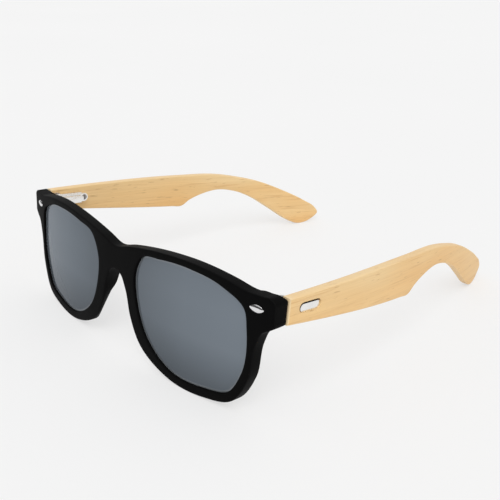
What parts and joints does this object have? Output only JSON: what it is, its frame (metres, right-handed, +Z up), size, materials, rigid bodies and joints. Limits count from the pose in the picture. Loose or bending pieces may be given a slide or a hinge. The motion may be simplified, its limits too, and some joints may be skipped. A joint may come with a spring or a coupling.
{
  "type": "sunglasses",
  "caption": "Sunglasses with a matte black moulded front, grey mirrored lenses, metal rivets and bent bamboo temples that fold on sprung hinges.",
  "frame": {"origin": "on the surface that the sunglasses stand on, midway between the temples and midway between the front's face and the temple tips", "axes": "+Z up, -Y the way the front faces, +Y along the temples, +X to the wearer's left"},
  "size_m": [0.145, 0.1582, 0.0457],
  "materials": {
    "front": "matte black, fine soft-touch grain",
    "lens": "smoke grey with a pale mirror coating",
    "rivet": "polished",
    "hinge": "satin",
    "bamboo": "pale laminated bamboo, sanded and lightly oiled"
  },
  "bodies": {
    "front": {"front_frame": "front", "lens_left": "lens", "lens_right": "lens", "rivet_left": "rivet", "rivet_right": "rivet", "front_hinge_left": "hinge", "front_hinge_right": "hinge", "pivot_screw_left": "hinge", "pivot_screw_right": "hinge"},
    "left_slider": {"hinge_slider_left": "hinge", "slider_stop_left": "hinge"},
    "right_slider": {"hinge_slider_right": "hinge", "slider_stop_right": "hinge"},
    "left_temple": {"temple_left": "bamboo", "hinge_housing_left": "hinge", "housing_screw_left": "hinge", "hinge_spring_left": "hinge"},
    "right_temple": {"temple_right": "bamboo", "hinge_housing_right": "hinge", "housing_screw_right": "hinge", "hinge_spring_right": "hinge"}
  },
  "joints": [
    {"name": "fold_left", "type": "hinge", "parent": "front", "child": "left_slider", "pos_m": [0.0674, -0.06283, 0.03709], "axis": [0, 0.1056, 0.9944], "range_deg": [0, 84]},
    {"name": "spring_left", "type": "slide", "parent": "left_slider", "child": "left_temple", "axis": [0, 0.9944, -0.1056], "range_m": [0, 0.0012], "stiffness_N_per_m": 2500, "springref_m": -0.0012, "deforming": ["hinge_spring_left"]},
    {"name": "fold_right", "type": "hinge", "parent": "front", "child": "right_slider", "pos_m": [-0.0674, -0.06283, 0.03709], "axis": [0, -0.1056, -0.9944], "range_deg": [0, 79]},
    {"name": "spring_right", "type": "slide", "parent": "right_slider", "child": "right_temple", "axis": [0, 0.9944, -0.1056], "range_m": [0, 0.0012], "stiffness_N_per_m": 2500, "springref_m": -0.0012, "deforming": ["hinge_spring_right"]}
  ]
}
